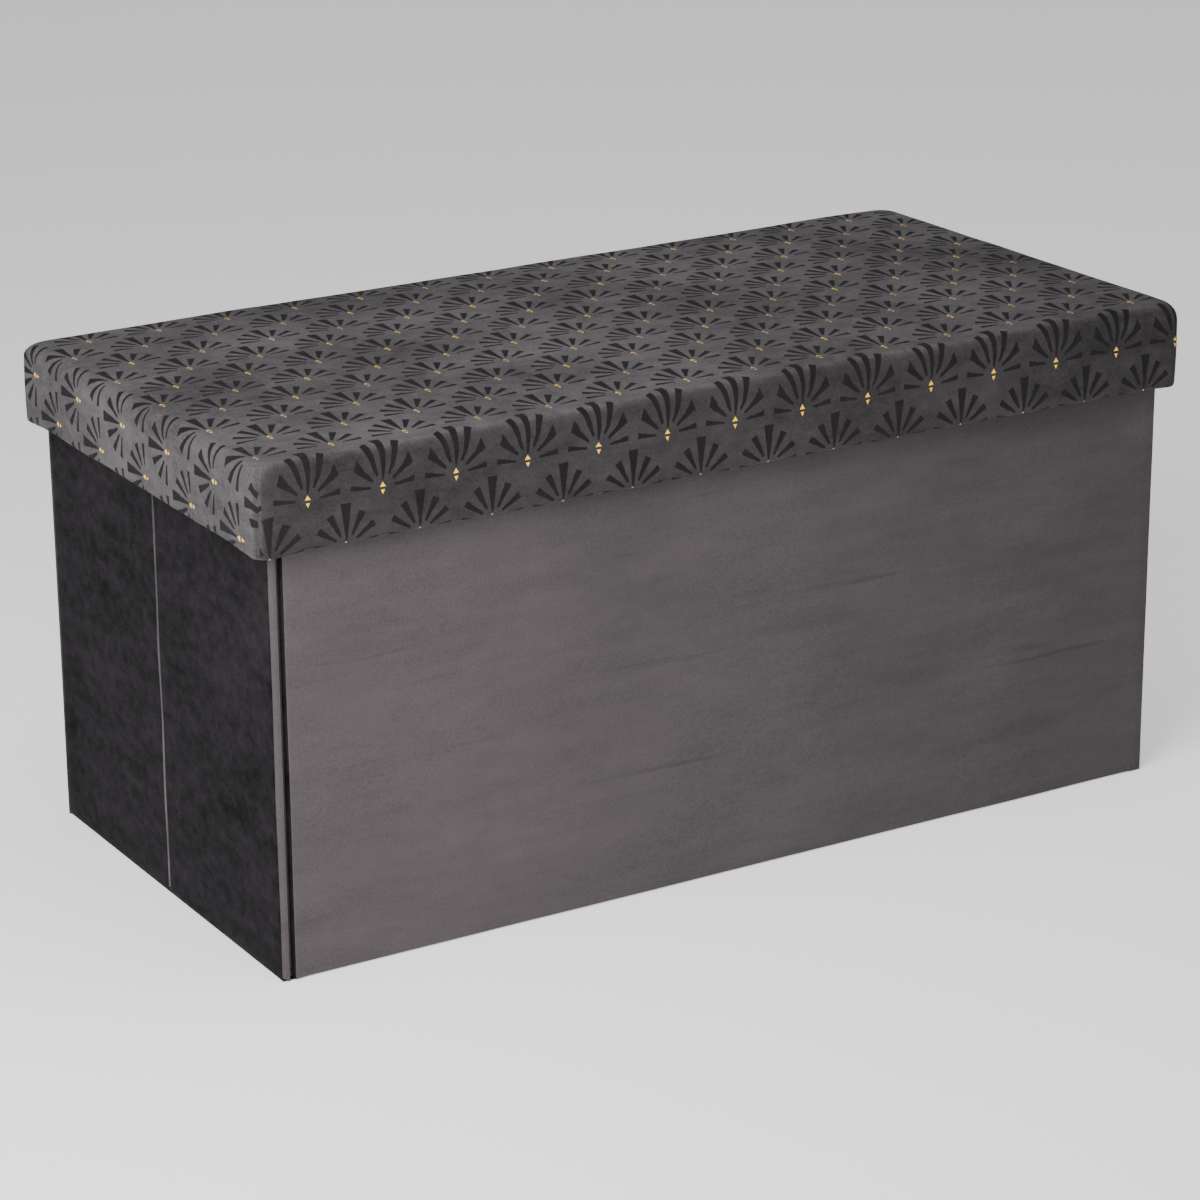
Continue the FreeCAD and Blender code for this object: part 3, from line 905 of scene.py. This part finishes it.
def lid_cover(material):
    """The padded, printed cover: top, sides and the hem turned up inside the rim."""
    nx, ny = side_lengths()
    around = 2 * (nx + ny)
    seams = [0, nx, nx + ny, 2 * nx + ny]
    inner, outer = cover_profile()
    rows = inner + outer
    points, cloth = [], []
    top_ring = ring(SHOULDER, plan_corner(SHOULDER, SHOULDER_TOP))
    for row, (inset, z, length) in enumerate(rows):
        for step, (x, y) in enumerate(ring(inset, plan_corner(inset, z))):
            distance = min(min(abs(step - s), around - abs(step - s)) for s in seams)
            seam = math.exp(-(distance / 0.9) ** 2)
            if row < len(inner) - ROLL_ROWS:
                points.append(Vector((x, y, z)))
            else:
                points.append(shape_cover(x, y, z, inset, seam))
            cloth.append((x, y, length))
    faces = ring_faces(len(rows), around)
    face_side = ([FRONT] * nx + [RIGHT] * ny + [BACK] * nx + [LEFT] * ny) * (len(rows) - 1)
    edge = (len(rows) - 1) * around
    add_patch(points, cloth, faces, face_side, top_ring, nx, ny, edge, True)
    add_patch(points, cloth, faces, face_side, ring(rows[0][0], CORNER), nx, ny, 0, False)
    cover = mesh_piece("lid_padded_cover", points, faces, None, material, 60)
    map_print(cover, faces, face_side, cloth, top_ring, around)
    return cover, len(inner) * around


def add_patch(points, cloth, faces, face_side, boundary, nx, ny, first, top):
    """Fills the top, or the hidden underside, inside an existing ring of points."""
    grid = patch(boundary, nx, ny)
    around = 2 * (nx + ny)
    index = {}
    for step in range(around):
        if step <= nx:
            key = (step, 0)
        elif step <= nx + ny:
            key = (nx, step - nx)
        elif step <= 2 * nx + ny:
            key = (2 * nx + ny - step, ny)
        else:
            key = (0, around - step)
        index[key] = first + step
    level = points[first].z
    for j in range(1, ny):
        for i in range(1, nx):
            x, y = grid[j][i]
            index[i, j] = len(points)
            if top:
                place = shape_cover(x, y, crown_height(x, y), SHOULDER, 0.0)
            else:
                place = Vector((x, y, level))
            points.append(place)
            cloth.append((x, y, None))      # it has no length down a side
    for j in range(ny):
        for i in range(nx):
            face = (index[i, j], index[i + 1, j], index[i + 1, j + 1], index[i, j + 1])
            faces.append(face if top else face[::-1])
            face_side.append(FLAT)


PULL_ALONG = 0.0045       # how far the print on the front is shifted to the left
PULL_DOWN = 0.0038        # how far it is shifted down the front
PULL_SIDE = 0.010         # how far down the side the shift is spread
PULL_FROM = 0.10          # distance in front of the middle at which the shift starts
PULL_RUN = 0.075          # distance over which it grows


def map_print(cover, faces, face_side, cloth, top_ring, around):
    """Lays the print's UV map on the cover as if the cloth was unrolled, in metres."""
    layer = cover.data.uv_layers.new(name="print")
    corner = 0
    for face, side in zip(faces, face_side):
        for point in face:
            x, y, length = cloth[point]
            shift = PULL_ALONG / 2 * min(max((-y - PULL_FROM) / PULL_RUN, 0.0), 1.0)
            x += shift
            if side != FLAT:
                fold_x, fold_y = top_ring[point % around]
                if side == FRONT:
                    pulled = min(max(length / (SHOULDER_ARC + PULL_SIDE), 0.0), 1.0)
                    x, y = x + PULL_ALONG / 2 * pulled, fold_y - length + PULL_DOWN * pulled
                elif side == RIGHT:
                    x = fold_x + length + shift
                elif side == BACK:
                    y = fold_y + length
                else:
                    x = fold_x - length + shift
            layer.data[corner].uv = (x, y)
            corner += 1


PAD_INSET = 0.002          # the simulated pad starts this much inside the cover
PAD_VOXEL = 0.006
PAD_PRESSURE = 4.0
PAD_MASS = 0.3
PAD_STIFFNESS = 0.5
HELD_HEIGHT = 0.012        # the pad is held fast this far up from the hem
SWELL = 0.0018             # rise of the pad's highest point
SETTLE_FRAMES = 20
NEIGHBOURS = 8             # points of the pad that a point of the cover takes its rise from
SOFTEN = 0.003             # distance that keeps the nearest of them from counting alone


def simulate_pad():
    """Inflates a remeshed copy of the padded block; returns its rest points and their offsets."""
    nx, ny = side_lengths()
    around = 2 * (nx + ny)
    rows = [(inset + PAD_INSET, z - PAD_INSET) for inset, z, _ in cover_profile()[1]]
    rows.insert(0, (PAD_INSET, HEM_Z + PAD_INSET))
    points = [Vector((x, y, z)) for inset, z in rows
              for x, y in ring(inset, plan_corner(max(inset - PAD_INSET, 0.0), z + PAD_INSET))]
    faces = ring_faces(len(rows), around)
    faces.append(tuple(range(around))[::-1])
    faces.append(tuple(range((len(rows) - 1) * around, len(rows) * around)))
    mesh = bpy.data.meshes.new("pad_block")
    mesh.from_pydata(points, [], faces)
    block = new_object("pad_block", mesh)
    remesh = block.modifiers.new("remesh", "REMESH")
    remesh.mode = "VOXEL"
    remesh.voxel_size = PAD_VOXEL
    graph = bpy.context.evaluated_depsgraph_get()
    pad_mesh = bpy.data.meshes.new_from_object(block.evaluated_get(graph))
    pad = new_object("pad", pad_mesh)
    bpy.data.objects.remove(block)
    rest = [vertex.co.copy() for vertex in pad_mesh.vertices]
    held = pad.vertex_groups.new(name="held")
    held.add([i for i, point in enumerate(rest) if point.z < HEM_Z + HELD_HEIGHT], 1.0, "REPLACE")
    cloth = pad.modifiers.new("cloth", "CLOTH")
    cloth.settings.vertex_group_mass = "held"
    cloth.settings.use_pressure = True
    cloth.settings.uniform_pressure_force = PAD_PRESSURE
    cloth.settings.effector_weights.gravity = 0.0
    cloth.settings.mass = PAD_MASS
    cloth.settings.bending_stiffness = PAD_STIFFNESS
    cloth.point_cache.frame_end = SETTLE_FRAMES
    for frame_number in range(1, SETTLE_FRAMES + 1):
        bpy.context.scene.frame_set(frame_number)
    graph = bpy.context.evaluated_depsgraph_get()
    swollen = pad.evaluated_get(graph).to_mesh()
    offsets = [vertex.co - point for vertex, point in zip(swollen.vertices, rest)]
    bpy.data.objects.remove(pad)
    bpy.context.scene.frame_set(1)
    return rest, offsets


def swell(cover, first):
    """Carries the simulated pad's rise over to the cover's points from the first one on."""
    rest, offsets = simulate_pad()
    scale = SWELL / max(offset.z for offset in offsets)
    tree = KDTree(len(rest))
    for index, point in enumerate(rest):
        tree.insert(point, index)
    tree.balance()
    for vertex in cover.data.vertices:
        share = (vertex.co.z - BEND) / SHOULDER_DROP
        if vertex.index < first or share <= 0:
            continue
        rise = total = 0.0
        for _, index, distance in tree.find_n(vertex.co, NEIGHBOURS):
            weight = 1 / (distance + SOFTEN)
            rise += offsets[index].z * weight
            total += weight
        vertex.co.z += max(0.0, scale * rise / total) * min(1.0, share)
    cover.data.update()


# ---- assembly

def dress_cad(materials):
    """Gives every CAD node the material of the first ending here that fits its name."""
    kinds = (("_board", "hardboard"), ("rim", "hardboard"), ("corner_strips", "hardboard"),
             ("_lining", "lining_cloth"), ("staples", "staple_wire"), ("_hem", "body_velvet"),
             ("_velvet", "body_velvet"), ("_cloth", "body_velvet"), ("seam", "seam_thread"),
             ("_foam", "lining_cloth"), ("_cover", "lid_velvet"), ("_tab", "ribbon"))
    for name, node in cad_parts.items():
        kind = next(slot for ending, slot in kinds if name.endswith(ending))
        node.data.materials.clear()
        node.data.materials.append(materials[kind])


def add_floor():
    """A large plain floor, just under the bench."""
    size, count = 14.0, 8
    points, faces = [], []
    for j in range(count + 1):
        for i in range(count + 1):
            points.append(Vector((size * (i / count - 0.5), size * (j / count - 0.5), -0.0004)))
    for j in range(count):
        for i in range(count):
            a = j * (count + 1) + i
            faces.append((a, a + 1, a + count + 2, a + count + 1))
    mesh = bpy.data.meshes.new("floor")
    mesh.from_pydata(points, [], faces)
    mesh.materials.append(floor_material())
    floor = new_object("floor", mesh)


add_camera()
add_studio()
add_floor()
MATERIALS = {"lid_velvet": lid_velvet(), "body_velvet": body_velvet(),
             "lining_cloth": non_woven("lining_cloth", srgb(30, 29, 31)),
             "hardboard": hardboard(), "seam_thread": thread(), "ribbon": ribbon_weave(),
             "staple_wire": staple_wire()}
dress_cad(MATERIALS)
velvet = MATERIALS["body_velvet"]

long_wall("front_panel", -1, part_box("front_velvet")[0].x, END_X, "front_wall", velvet)
long_wall("back_panel", 1, -END_X, END_X, "back_wall", velvet)
for end in (-1, 1):
    label = "right" if end > 0 else "left"
    end_half(end, True, f"{label}_front_half", velvet)
    end_half(end, False, f"{label}_rear_half", velvet)
    hinge_cloth(end, True, "front_wall", velvet)
    hinge_cloth(end, False, "back_wall", velvet)
    fold_cord(end, f"{label}_front_half", MATERIALS["seam_thread"])
bottom_sheet(MATERIALS["lining_cloth"])
ribbon_tab(MATERIALS["ribbon"])

cover, outside_start = lid_cover(MATERIALS["lid_velvet"])
swell(cover, outside_start)
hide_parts("lid_cover", "lid_foam", "lid_hem")
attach(cover, "lid")
